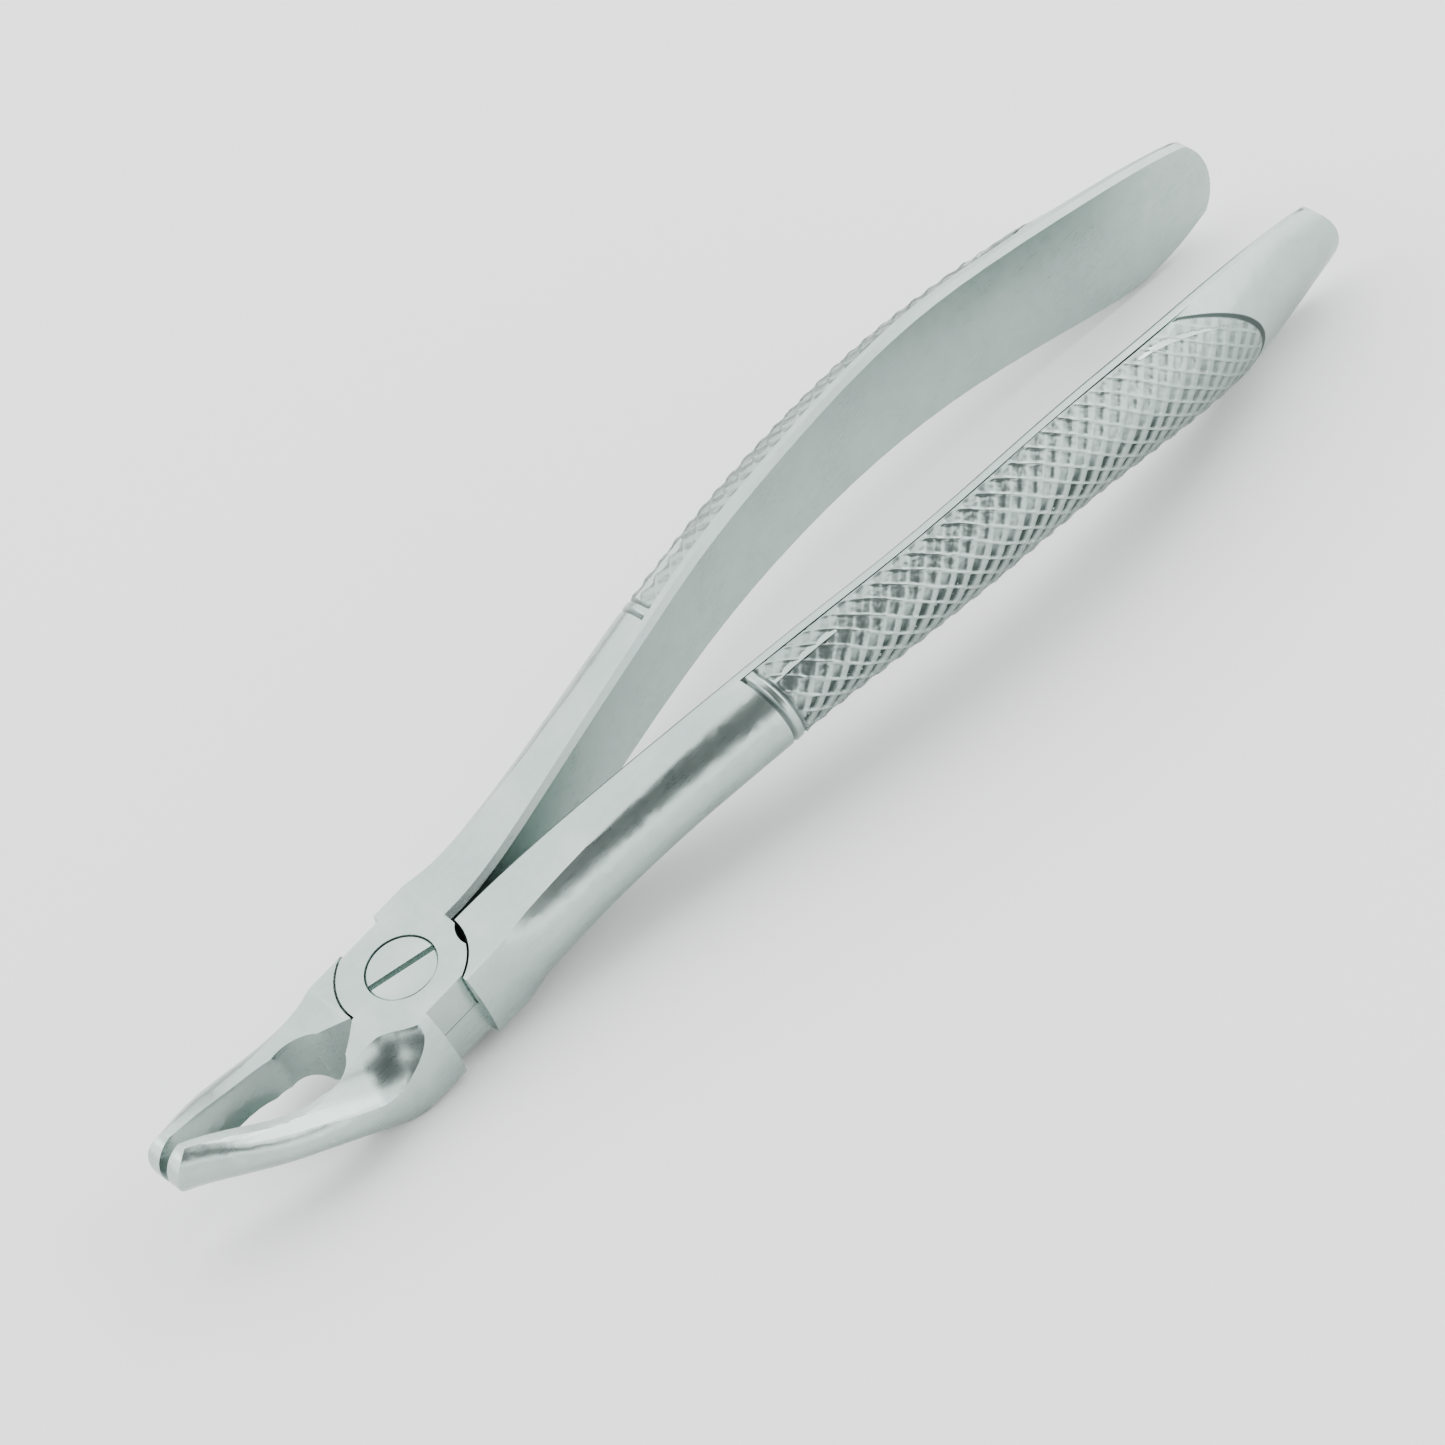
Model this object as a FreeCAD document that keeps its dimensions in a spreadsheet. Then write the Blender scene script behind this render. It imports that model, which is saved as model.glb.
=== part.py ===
import FreeCAD, Part
import math
import os
import Sketcher

# Extraction forceps, English pattern.  Millimetres and degrees.
# Origin: on the pivot axis, in the plane of the rear joint face.
# +X runs towards the handle ends, +Z runs along the pivot towards the screw head,
# and +Y is the side of the front half's handle.

# Driving dimensions.  Each one is a cell of the spreadsheet with the same alias.
SIZES = {
    # overall
    "handle_length": 142.5,      # pivot axis to the handle ends
    "beak_length": 35.8,         # pivot axis to the beak tips
    # lap joint
    "joint_thickness": 10.25,    # both layers together
    "split_height": 4.95,        # top of the rear layer
    "layer_gap": 0.10,           # between the two layers
    "disc_radius": 7.8,          # round middle of each layer
    "side_share": 0.91,          # flat sides of a disc, as a share of its radius
    "arc_gap": 0.3,              # between a disc and the recess round it
    "shoulder_width": 8.65,      # inner to outer side of the handles at the joint
    "handle_shoulder": 3.05,     # pivot axis to the handles' shoulders, along X
    "beak_shoulder": 2.75,       # pivot axis to the beaks' shoulders, along X
    "half_gap": 0.16,            # each half to the centre line beside the discs
    "relief_radius": 3.5,        # shallow notch in the front disc, beside its handle
    "relief_depth": 0.65,
    "relief_turn": -21.0,        # middle of the notch to the X axis
    # pivot screw
    "head_radius": 4.4,
    "head_height": 2.1,
    "head_sink": 0.12,           # head face below the joint face
    "head_bevel": 0.22,
    "shank_radius": 2.45,
    "screw_clearance": 0.05,     # round and under the head, and round the shank
    "slot_width": 0.8,
    "slot_depth": 1.05,
    "slot_turn": -17.0,          # slot to the X axis
    # handles
    "edge_chamfer": 0.65,
    "end_radius": 7.3,           # rounded handle ends, seen from the side
    "end_rise": -9.7,            # centre of the rounded end over the joint's middle
    "end_turn": -5.0,            # rounded end's direction to the X axis
    "knurl_start": 49.2,
    "knurl_depth": 0.45,
    "knurl_edge": 0.5,           # how far the outer face's recess stops short of its edges
    "flank_edge": 1.5,           # inner face to the knurl on the handle's flanks
    "flank_reach": 2.0,          # how far the flanks' recess runs in over the outer face
    # beaks
    "throat_centre": 15.6,       # pivot axis to the centre of the throat's round end
    "throat_radius": 4.7,
    "scoop_start": 8.6,          # pivot axis to the rim of the scoop beside a disc
    "scoop_radius": 6.45,
    "scoop_height": 2.2,         # centre of the scoop over the joint face
    "scoop_turn": 14.0,          # scoop's first side, from the side of the joint
    "scoop_sweep": 33.0,
    "runout_heading": 168.0,     # direction in which the scoop runs out along the beak
    "front_climb": 27.5,         # how steeply it rises, on the front half
    "rear_climb": 8.0,
    "tip_radius": 3.7,           # rounded beak tips, seen from the side
    "tip_rise": 8.85,            # centre of the rounded tip over the joint's middle
    "tip_turn": 155.0,           # rounded tip's direction to the X axis
}
OUTSIDE = 3.0                    # how far a cut runs past the metal
SIDE = "Sizes.disc_radius * Sizes.side_share"

# Stations of the handles and beaks, from the shoulders outwards.  at: share of the length;
# inner: inner face to the centre line; rise: middle over the joint's middle.
# A name stands for another cell.
ROOT = {"at": "disc_radius + Sizes.arc_gap", "inner": "half_gap", "rise": 0.0,
        "width": "joint_thickness", "tilt": 0.0}
HANDLE_STATIONS = (
    dict(ROOT, thick="shoulder_width", flat=7.9, lean=0.3),
    dict(at=0.167, inner=1.6, rise=0.75, width=10.35, thick=8.85, flat=5.7, tilt=3.0, lean=0.0),
    dict(at=0.267, inner=4.25, rise=1.7, width=10.35, thick=8.25, flat=4.0, tilt=4.0, lean=0.0),
    dict(at="knurl_start", inner=6.35, rise=2.1, width=10.65, thick=8.0, flat=2.95, tilt=4.4,
         lean=0.0),
    dict(at=0.467, inner=9.25, rise=1.75, width=11.7, thick=7.55, flat=2.2, tilt=5.3, lean=0.0),
    dict(at=0.567, inner=10.75, rise=0.65, width=12.8, thick=7.4, flat=1.8, tilt=5.7, lean=0.0),
    dict(at=0.667, inner=11.35, rise=-1.0, width=14.45, thick=7.1, flat=1.6, tilt=6.2, lean=0.0),
    dict(at=0.767, inner=11.1, rise=-4.1, width=15.95, thick=7.1, flat=1.5, tilt=6.4, lean=0.0),
    dict(at=0.830, inner=10.5, rise=-6.45, width=16.7, thick=6.85, flat=1.4, tilt=6.4, lean=0.0),
    dict(at=0.873, inner=10.0, rise=-8.0, width=16.9, thick=6.0, flat=1.4, tilt=6.5, lean=0.0),
    dict(at=0.940, inner=9.4, rise=-9.6, width=15.0, thick=4.35, flat=1.25, tilt=6.5, lean=0.0),
    dict(at=1.010, inner=8.85, rise=-10.65, width=9.0, thick=3.4, flat=1.15, tilt=6.5, lean=0.0),
)
BEAK_STATIONS = (
    dict(ROOT, thick=8.25, flat=7.3, hollow=0.02, lean=1.35),
    dict(at=0.365, inner=3.25, rise=0.15, width=8.85, thick=5.6, flat=3.6, tilt=0.0, hollow=0.2,
         lean=0.65),
    dict(at=0.521, inner=4.5, rise=2.25, width=6.25, thick=4.1, flat=1.8, tilt=0.0, hollow=0.5,
         lean=0.0),
    dict(at=0.677, inner=3.35, rise=4.95, width=6.0, thick=4.05, flat=1.5, tilt=0.0, hollow=0.8,
         lean=0.0),
    dict(at=0.833, inner=1.55, rise=7.7, width=7.05, thick=3.6, flat=1.25, tilt=0.0, hollow=0.8,
         lean=0.0),
    dict(at=0.938, inner=0.6, rise=9.4, width=7.05, thick=2.75, flat=1.05, tilt=0.0, hollow=0.4,
         lean=0.0),
    dict(at=1.010, inner=0.5, rise=10.65, width=7.05, thick=1.9, flat=0.75, tilt=0.0, hollow=0.2,
         lean=0.0),
)
# The knurled zone follows the handle's own stations: station, how deep its floor lies as a
# share of the knurl's depth, and its plain strip as a multiple of the knurl's edge.
KNURL_STATIONS = ((3, 1.0, 1.0), (4, 1.0, 1.0), (5, 1.0, 1.0), (6, 1.0, 1.0), (7, 1.0, 1.0),
                  (8, 0.9, 4.2), (9, 0.1, 11.4))
# The flanks' own recess, which runs out to nothing: station and depth as a share.
UPPER_FLANK = ((3, 1.15), (4, 1.15), (5, 1.15), (6, 1.15), (7, 1.15), (8, 0.5), (9, -2.0))
LOWER_FLANK = ((3, 1.15), (4, 1.15), (5, 1.15), (6, 1.15), (7, 1.15), (8, -0.8))

doc = FreeCAD.newDocument("extraction_forceps")
sheet = doc.addObject("Spreadsheet::Sheet", "Sizes")
rows = []


def add_cell(name, value):
    """Puts a number on the sheet under its own alias and returns its expression."""
    rows.append(name)
    sheet.set("A%d" % len(rows), name)
    sheet.set("B%d" % len(rows), repr(float(value)))
    sheet.setAlias("B%d" % len(rows), name)
    return "Sizes." + name


def fill_stations(kind, table):
    """Gives every number of a table of stations its own cell, and returns expressions."""
    stations = []
    for number, station in enumerate(table):
        made = {}
        for field, value in station.items():
            named = isinstance(value, str)
            made[field] = "Sizes." + value if named else add_cell(
                "%s_%s_%d" % (kind, field, number), value)
            if field == "at" and not named:
                made[field] += " * Sizes.%s_length" % kind
        stations.append(made)
    return stations


def value_of(text):
    """Works out an expression made of cells, numbers and operators."""
    return float(sheet.evalExpression(text))


def plane(body, role):
    """One of a body's own origin planes."""
    return next(item for item in body.Origin.OriginFeatures if item.Role == role)


def new_sketch(body, name, role):
    sketch = body.newObject("Sketcher::SketchObject", name)
    sketch.AttachmentSupport = [(plane(body, role), "")]
    sketch.MapMode = "FlatFace"
    return sketch


def driven(sketch, kind, element, point, text):
    """Places a point from the sketch's origin by a size on the sheet."""
    index = sketch.addConstraint(Sketcher.Constraint(kind, -1, 1, element, point, value_of(text)))
    sketch.setExpression("Constraints[%d]" % index, text)


def driven_radius(sketch, element, text):
    index = sketch.addConstraint(Sketcher.Constraint("Radius", element, value_of(text)))
    sketch.setExpression("Constraints[%d]" % index, text)


def join(sketch, *pairs):
    """Makes pairs of points coincide: (edge, end, edge, end)."""
    for pair in pairs:
        sketch.addConstraint(Sketcher.Constraint("Coincident", *pair))


def mirror_points(sketch, *pairs):
    """Makes pairs of points symmetric about the sketch's horizontal axis."""
    for pair in pairs:
        sketch.addConstraint(Sketcher.Constraint("Symmetric", *pair, -1))


def line(start, end):
    return Part.LineSegment(FreeCAD.Vector(*start, 0), FreeCAD.Vector(*end, 0))


def bow(start, middle, end):
    """An arc through three points, listed counter-clockwise."""
    return Part.Arc(*(FreeCAD.Vector(*point, 0) for point in (start, middle, end)))


def radius_text(half_chord, bulge):
    """The radius of an arc from half its chord and its height."""
    return "((%s) ^ 2 + (%s) ^ 2) / (2 * (%s))" % (half_chord, bulge, bulge)


def stand_section(body, name, side, station, direction):
    """Stands a section across the X axis, on one side of the centre line."""
    sketch = new_sketch(body, name, "YZ_Plane")
    turn = 0 if side > 0 else 180
    start = FreeCAD.Rotation(FreeCAD.Vector(0, 0, 1), turn + 1.0)
    sketch.AttachmentOffset = FreeCAD.Placement(FreeCAD.Vector(), start)
    offset = {
        "Base.x": "%d * %s" % (side, station["inner"]),
        "Base.y": "Sizes.joint_thickness / 2 + %s" % station["rise"],
        "Base.z": "%d * (%s)" % (direction, station["at"]),
        "Rotation.Angle": "%d - %d * %s" % (turn, side, station["tilt"]),
    }
    for path, text in offset.items():
        sketch.setExpression("AttachmentOffset." + path, text)
    return sketch


def drive_outer_face(sketch, station, half_text, side):
    """Drives both flats and the outer face between them, which may lean outwards below."""
    for flat in (0, 2):
        sketch.addConstraint(Sketcher.Constraint("Horizontal", flat))
    lower, upper = (1, 2) if side > 0 else (2, 1)
    driven(sketch, "DistanceY", 2, 2, half_text)
    driven(sketch, "DistanceX", upper, 1, station["flat"])
    driven(sketch, "DistanceX", lower, 1, "%s + %s" % (station["flat"], station["lean"]))
    half_chord = "sqrt((%s) ^ 2 + (%s / 2) ^ 2)" % (half_text, station["lean"])
    bulge = "%s - %s" % (station["thick"], station["flat"])
    driven_radius(sketch, 1, radius_text(half_chord, bulge))


def handle_section(body, name, side, station):
    """Flat inner face, chamfered inner edges, short flats and a convex outer face."""
    sketch = stand_section(body, name, side, station, 1)
    half_text = "%s / 2" % station["width"]
    half, thick, flat, lean = map(value_of, (half_text, station["thick"], station["flat"],
                                             station["lean"]))
    low, high = (flat + lean, flat) if side > 0 else (flat, flat + lean)
    cut = value_of("Sizes.edge_chamfer")
    sketch.addGeometry([
        line((cut, -half), (low, -half)),
        bow((low, -half), (thick + lean / 2, 0), (high, half)),
        line((high, half), (cut, half)),
        line((cut, half), (0, half - cut)),
        line((0, half - cut), (0, cut - half)),
        line((0, cut - half), (cut, -half)),
    ])
    join(sketch, *((edge, 2, (edge + 1) % 6, 1) for edge in range(6)))
    mirror_points(sketch, (0, 1, 2, 2), (4, 2, 4, 1))
    sketch.addConstraint(Sketcher.Constraint("PointOnObject", 4, 1, -2))
    driven(sketch, "DistanceX", 2, 2, "Sizes.edge_chamfer")
    driven(sketch, "DistanceY", 4, 1, "%s - Sizes.edge_chamfer" % half_text)
    drive_outer_face(sketch, station, half_text, side)
    return sketch


def beak_section(body, name, side, station):
    """Hollowed inner face, short flats and a convex outer face."""
    sketch = stand_section(body, name, side, station, -1)
    half_text = "%s / 2" % station["width"]
    half, thick, flat, lean = map(value_of, (half_text, station["thick"], station["flat"],
                                             station["lean"]))
    low, high = (flat + lean, flat) if side > 0 else (flat, flat + lean)
    sketch.addGeometry([
        line((0, -half), (low, -half)),
        bow((low, -half), (thick + lean / 2, 0), (high, half)),
        line((high, half), (0, half)),
        bow((0, -half), (value_of(station["hollow"]), 0), (0, half)),
    ])
    join(sketch, (0, 2, 1, 1), (1, 2, 2, 1), (2, 2, 3, 2), (3, 1, 0, 1))
    mirror_points(sketch, (0, 1, 2, 2))
    sketch.addConstraint(Sketcher.Constraint("PointOnObject", 2, 2, -2))
    driven_radius(sketch, 3, radius_text(half_text, station["hollow"]))
    drive_outer_face(sketch, station, half_text, side)
    return sketch


def knurl_section(body, name, side, station, depth_share, edge_share):
    """What the knurled zone takes off the outer face: its floor runs level with the face."""
    sketch = stand_section(body, name, side, station, 1)
    bulge = "(%s - %s)" % (station["thick"], station["flat"])
    face_radius = radius_text("%s / 2" % station["width"], bulge)
    centre_text = "%s - %s" % (station["thick"], face_radius)
    floor_text = "%s - %g * Sizes.knurl_depth" % (face_radius, depth_share)
    half_text = "%s / 2 - %g * Sizes.knurl_edge" % (station["width"], edge_share)
    outer_text = "%s + %g" % (station["thick"], OUTSIDE)
    centre, floor, half, outer = map(value_of, (centre_text, floor_text, half_text, outer_text))
    start = centre + (floor ** 2 - half ** 2) ** 0.5
    sketch.addGeometry([
        line((start, -half), (outer, -half)),
        line((outer, -half), (outer, half)),
        line((outer, half), (start, half)),
        bow((start, -half), (centre + floor, 0), (start, half)),
    ])
    join(sketch, (0, 2, 1, 1), (1, 2, 2, 1), (2, 2, 3, 2), (3, 1, 0, 1))
    mirror_points(sketch, (0, 1, 2, 2), (0, 2, 2, 1))
    driven(sketch, "DistanceX", 3, 3, centre_text)
    driven_radius(sketch, 3, floor_text)
    driven(sketch, "DistanceY", 2, 2, half_text)
    driven(sketch, "DistanceY", 2, 1, half_text)
    driven(sketch, "DistanceX", 2, 1, outer_text)
    return sketch


def flank_section(body, name, side, station, depth_share, upper):
    """What the knurled zone takes off a handle's upper or lower flank."""
    sketch = stand_section(body, name, side, station, 1)
    sign = 1 if upper else -1
    near_text = "%g * (%s / 2 - %g * Sizes.knurl_depth)" % (sign, station["width"], depth_share)
    far_text = "%g * (%s / 2 + %g)" % (sign, station["width"], OUTSIDE)
    end_text = "%s + Sizes.flank_reach" % station["flat"]
    start, end, near, far = map(value_of, ("Sizes.flank_edge", end_text, near_text, far_text))
    corners = [(start, near), (end, near), (end, far), (start, far)]
    sketch.addGeometry([line(corners[edge], corners[(edge + 1) % 4]) for edge in range(4)])
    join(sketch, *((edge, 2, (edge + 1) % 4, 1) for edge in range(4)))
    for edge, direction in enumerate(("Horizontal", "Vertical") * 2):
        sketch.addConstraint(Sketcher.Constraint(direction, edge))
    driven(sketch, "DistanceX", 0, 1, "Sizes.flank_edge")
    driven(sketch, "DistanceX", 1, 1, end_text)
    driven(sketch, "DistanceY", 0, 1, near_text)
    driven(sketch, "DistanceY", 2, 1, far_text)
    return sketch


def loft(body, kind, name, sketches):
    feature = body.newObject("PartDesign::" + kind, name)
    feature.Profile = sketches[0]
    feature.Sections = sketches[1:]
    feature.Ruled = False
    return feature


def cut_checked(body, feature):
    """A cut that points away from the metal takes nothing and says nothing."""
    before = feature.BaseFeature.Shape.Volume
    doc.recompute()
    if feature.Shape.Volume >= before:
        raise RuntimeError("%s cut nothing" % feature.Name)
    body.Tip = feature


def pad_layer(body, name, sketch, bottom, top):
    """Pads a sketch on the XY plane from one height to another."""
    sketch.setExpression("AttachmentOffset.Base.z", bottom)
    feature = body.newObject("PartDesign::Pad", name)
    feature.Profile = sketch
    feature.setExpression("Length", "(%s) - (%s)" % (top, bottom))


def pocket_layer(body, name, sketch, bottom, top):
    """Cuts a sketch on the XY plane out, from one height up to another."""
    sketch.setExpression("AttachmentOffset.Base.z", bottom)
    doc.recompute()
    feature = body.newObject("PartDesign::Pocket", name)
    feature.Profile = sketch
    feature.Reversed = True
    feature.setExpression("Length", "(%s) - (%s)" % (top, bottom))
    cut_checked(body, feature)


def circle_sketch(body, name, radius, x_text=None, y_text=None):
    """A circle on the XY plane, on the pivot axis or at a place from the sheet."""
    sketch = new_sketch(body, name, "XY_Plane")
    place = [value_of(text) if text else 0.0 for text in (x_text, y_text)]
    centre = FreeCAD.Vector(*place, 0)
    sketch.addGeometry(Part.Circle(centre, FreeCAD.Vector(0, 0, 1), value_of(radius)))
    if x_text and y_text:
        driven(sketch, "DistanceX", 0, 3, x_text)
        driven(sketch, "DistanceY", 0, 3, y_text)
    elif x_text:
        driven(sketch, "DistanceX", 0, 3, x_text)
        sketch.addConstraint(Sketcher.Constraint("PointOnObject", 0, 3, -1))
    else:
        sketch.addConstraint(Sketcher.Constraint("Coincident", 0, 3, -1, 1))
    driven_radius(sketch, 0, radius)
    return sketch


def disc_sketch(body, name):
    """A round disc about the pivot, cut flat on the two sides of the joint."""
    sketch = new_sketch(body, name, "XY_Plane")
    radius, side = value_of("Sizes.disc_radius"), value_of(SIDE)
    half = (radius ** 2 - side ** 2) ** 0.5
    sketch.addGeometry([
        line((-half, -side), (half, -side)),
        bow((half, -side), (radius, 0), (half, side)),
        line((half, side), (-half, side)),
        bow((-half, side), (-radius, 0), (-half, -side)),
    ])
    join(sketch, *((edge, 2, (edge + 1) % 4, 1) for edge in range(4)))
    for edge in (1, 3):
        sketch.addConstraint(Sketcher.Constraint("Coincident", edge, 3, -1, 1))
    sketch.addConstraint(Sketcher.Constraint("Equal", 1, 3))
    for edge, height in ((0, "-" + SIDE), (2, SIDE)):
        sketch.addConstraint(Sketcher.Constraint("Horizontal", edge))
        driven(sketch, "DistanceY", edge, 1, height)
    driven_radius(sketch, 1, "Sizes.disc_radius")
    return sketch


def build_lever(label, side, stations):
    """One half: joint layer, handle on its side of the centre line, beak on the other."""
    front = side > 0
    body = doc.addObject("PartDesign::Body", label)
    body.Label = label
    lower, upper = "0", "Sizes.split_height"
    if front:
        lower, upper = "Sizes.split_height + Sizes.layer_gap", "Sizes.joint_thickness"
    pad_layer(body, label + "_layer", disc_sketch(body, label + "_disc"), lower, upper)

    for arm, section, arm_side in (("handle", handle_section, side), ("beak", beak_section, -side)):
        sections = [section(body, "%s_%s_%d" % (label, arm, number), arm_side, station)
                    for number, station in enumerate(stations[arm])]
        doc.recompute()
        root = body.newObject("PartDesign::Pad", "%s_%s_root" % (label, arm))
        root.Profile = sections[0]
        root.Reversed = arm == "handle"
        root.setExpression("Length", "Sizes.disc_radius + Sizes.arc_gap - Sizes.%s_shoulder" % arm)
        loft(body, "AdditiveLoft", "%s_%s" % (label, arm), sections)

    # room for the other half's disc
    recess = circle_sketch(body, label + "_recess", "Sizes.disc_radius + Sizes.arc_gap")
    if front:
        pocket_layer(body, label + "_clear", recess, "-%g" % OUTSIDE, lower)
    else:
        top = "Sizes.joint_thickness + %g" % OUTSIDE
        pocket_layer(body, label + "_clear", recess, upper, top)

    throat = circle_sketch(body, label + "_throat", "Sizes.throat_radius",
                           "-Sizes.throat_centre")
    height = "2 * Sizes.joint_thickness"
    pocket_layer(body, label + "_open", throat, "-%g" % OUTSIDE, height)
    cut_knurl_floor(body, label, side, stations["handle"])
    round_end(body, label + "_handle_end", "Sizes.end_radius",
              "Sizes.handle_length - Sizes.end_radius", "Sizes.end_rise", "Sizes.end_turn")
    round_end(body, label + "_beak_tip", "Sizes.tip_radius",
              "Sizes.tip_radius - Sizes.beak_length", "Sizes.tip_rise", "Sizes.tip_turn")
    scoop_beak(body, label, side)
    return body


def round_end(body, name, radius, x_text, rise_text, turn_text):
    """Rounds a handle's end or a beak's tip off, seen from the side."""
    sketch = new_sketch(body, name + "_outline", "XZ_Plane")
    sketch.AttachmentOffset = FreeCAD.Placement(
        FreeCAD.Vector(), FreeCAD.Rotation(FreeCAD.Vector(0, 0, 1), 1.0))
    sketch.setExpression("AttachmentOffset.Base.x", x_text)
    sketch.setExpression("AttachmentOffset.Base.y", "Sizes.joint_thickness / 2 + " + rise_text)
    sketch.setExpression("AttachmentOffset.Rotation.Angle", turn_text)
    size = value_of(radius)
    far = size + OUTSIDE
    corners = [(0, size), (0, far), (far, far), (far, -far), (0, -far), (0, -size)]
    sketch.addGeometry([line(*pair) for pair in zip(corners, corners[1:])])
    sketch.addGeometry(bow((0, -size), (size, 0), (0, size)))
    join(sketch, *((edge, 2, edge + 1, 1) for edge in range(4)), (4, 2, 5, 1), (5, 2, 0, 1))
    for edge, direction in enumerate(("Vertical", "Horizontal") * 2 + ("Vertical",)):
        sketch.addConstraint(Sketcher.Constraint(direction, edge))
    sketch.addConstraint(Sketcher.Constraint("Coincident", 5, 3, -1, 1))
    mirror_points(sketch, (0, 2, 3, 2))
    sketch.addConstraint(Sketcher.Constraint("PointOnObject", 0, 1, -2))
    driven_radius(sketch, 5, radius)
    driven(sketch, "DistanceX", 1, 2, "%s + %g" % (radius, OUTSIDE))
    driven(sketch, "DistanceY", 1, 2, "%s + %g" % (radius, OUTSIDE))
    doc.recompute()
    feature = body.newObject("PartDesign::Pocket", name)
    feature.Profile = sketch
    feature.Type = "ThroughAll"
    feature.Midplane = True
    cut_checked(body, feature)


def scoop_beak(body, label, side):
    """A round scoop where the beak leaves the joint, on the half's own face."""
    drop = "Sizes.joint_thickness + Sizes.scoop_height" if side > 0 else "-Sizes.scoop_height"
    reach = "(Sizes.scoop_start + sqrt(Sizes.scoop_radius ^ 2 - Sizes.scoop_height ^ 2))"
    turn = "%d * (90 + Sizes.scoop_turn)" % -side
    sketch = new_sketch(body, label + "_scoop_outline", "XZ_Plane")
    sketch.AttachmentOffset = FreeCAD.Placement(
        FreeCAD.Vector(), FreeCAD.Rotation(FreeCAD.Vector(0, 1, 0), 1.0))
    sketch.setExpression("AttachmentOffset.Rotation.Angle", turn)
    centre = FreeCAD.Vector(value_of(reach), value_of(drop), 0)
    sketch.addGeometry(Part.Circle(centre, FreeCAD.Vector(0, 0, 1), value_of("Sizes.scoop_radius")))
    driven(sketch, "DistanceX", 0, 3, reach)
    driven(sketch, "DistanceY", 0, 3, drop)
    driven_radius(sketch, 0, "Sizes.scoop_radius")
    doc.recompute()
    groove = body.newObject("PartDesign::Groove", label + "_scoop")
    groove.Profile = sketch
    groove.ReferenceAxis = (sketch, ["V_Axis"])
    groove.setExpression("Angle", "Sizes.scoop_sweep")
    groove.Reversed = side > 0
    cut_checked(body, groove)

    end_turn = "(%d * (90 + Sizes.scoop_turn + Sizes.scoop_sweep) * 1 deg)" % -side
    ball = body.newObject("PartDesign::SubtractiveSphere", label + "_scoop_end")
    ball.AttachmentSupport = [(plane(body, "XY_Plane"), "")]
    ball.MapMode = "FlatFace"
    ball.setExpression("Radius", "Sizes.scoop_radius")
    ball.setExpression("AttachmentOffset.Base.x", "%s * cos(%s)" % (reach, end_turn))
    ball.setExpression("AttachmentOffset.Base.y", "%s * sin(%s)" % (reach, end_turn))
    ball.setExpression("AttachmentOffset.Base.z", drop)
    cut_checked(body, ball)

    heading = math.radians(side * value_of("Sizes.runout_heading"))
    runout = body.newObject("PartDesign::SubtractiveCylinder", label + "_scoop_runout")
    runout.AttachmentSupport = [(plane(body, "XY_Plane"), "")]
    runout.MapMode = "FlatFace"
    runout.setExpression("Radius", "Sizes.scoop_radius")
    runout.setExpression("Height", "Sizes.beak_length")
    across = FreeCAD.Vector(-math.sin(heading), math.cos(heading), 0)
    runout.AttachmentOffset = FreeCAD.Placement(FreeCAD.Vector(), FreeCAD.Rotation(across, 45.0))
    runout.setExpression("AttachmentOffset.Base.x", "%s * cos(%s)" % (reach, end_turn))
    runout.setExpression("AttachmentOffset.Base.y", "%s * sin(%s)" % (reach, end_turn))
    runout.setExpression("AttachmentOffset.Base.z", drop)
    climb = "Sizes.%s_climb" % ("front" if side > 0 else "rear")
    runout.setExpression("AttachmentOffset.Rotation.Angle", "90 - " + climb)
    cut_checked(body, runout)


def bore_front(body):
    """Counterbore for the screw head, bore for its shank and the notch beside the disc."""
    top = "Sizes.joint_thickness + %g" % OUTSIDE
    seat = "Sizes.joint_thickness - Sizes.head_height - Sizes.screw_clearance"
    for name, radius, bottom in (("seat", "Sizes.head_radius", seat),
                                 ("bore", "Sizes.shank_radius", "0")):
        sketch = circle_sketch(body, "front_%s_circle" % name, radius + " + Sizes.screw_clearance")
        pocket_layer(body, "front_" + name, sketch, bottom, top)
    reach = "(Sizes.disc_radius + Sizes.relief_radius - Sizes.relief_depth)"
    notch = circle_sketch(body, "front_notch_circle", "Sizes.relief_radius",
                          reach + " * cos(Sizes.relief_turn * 1 deg)",
                          reach + " * sin(Sizes.relief_turn * 1 deg)")
    pocket_layer(body, "front_notch", notch, "0", top)


def bore_rear(body):
    """The threaded hole, full of the screw."""
    sketch = circle_sketch(body, "rear_thread_circle", "Sizes.shank_radius")
    pocket_layer(body, "rear_thread", sketch, "-%g" % OUTSIDE, "Sizes.joint_thickness")


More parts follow.
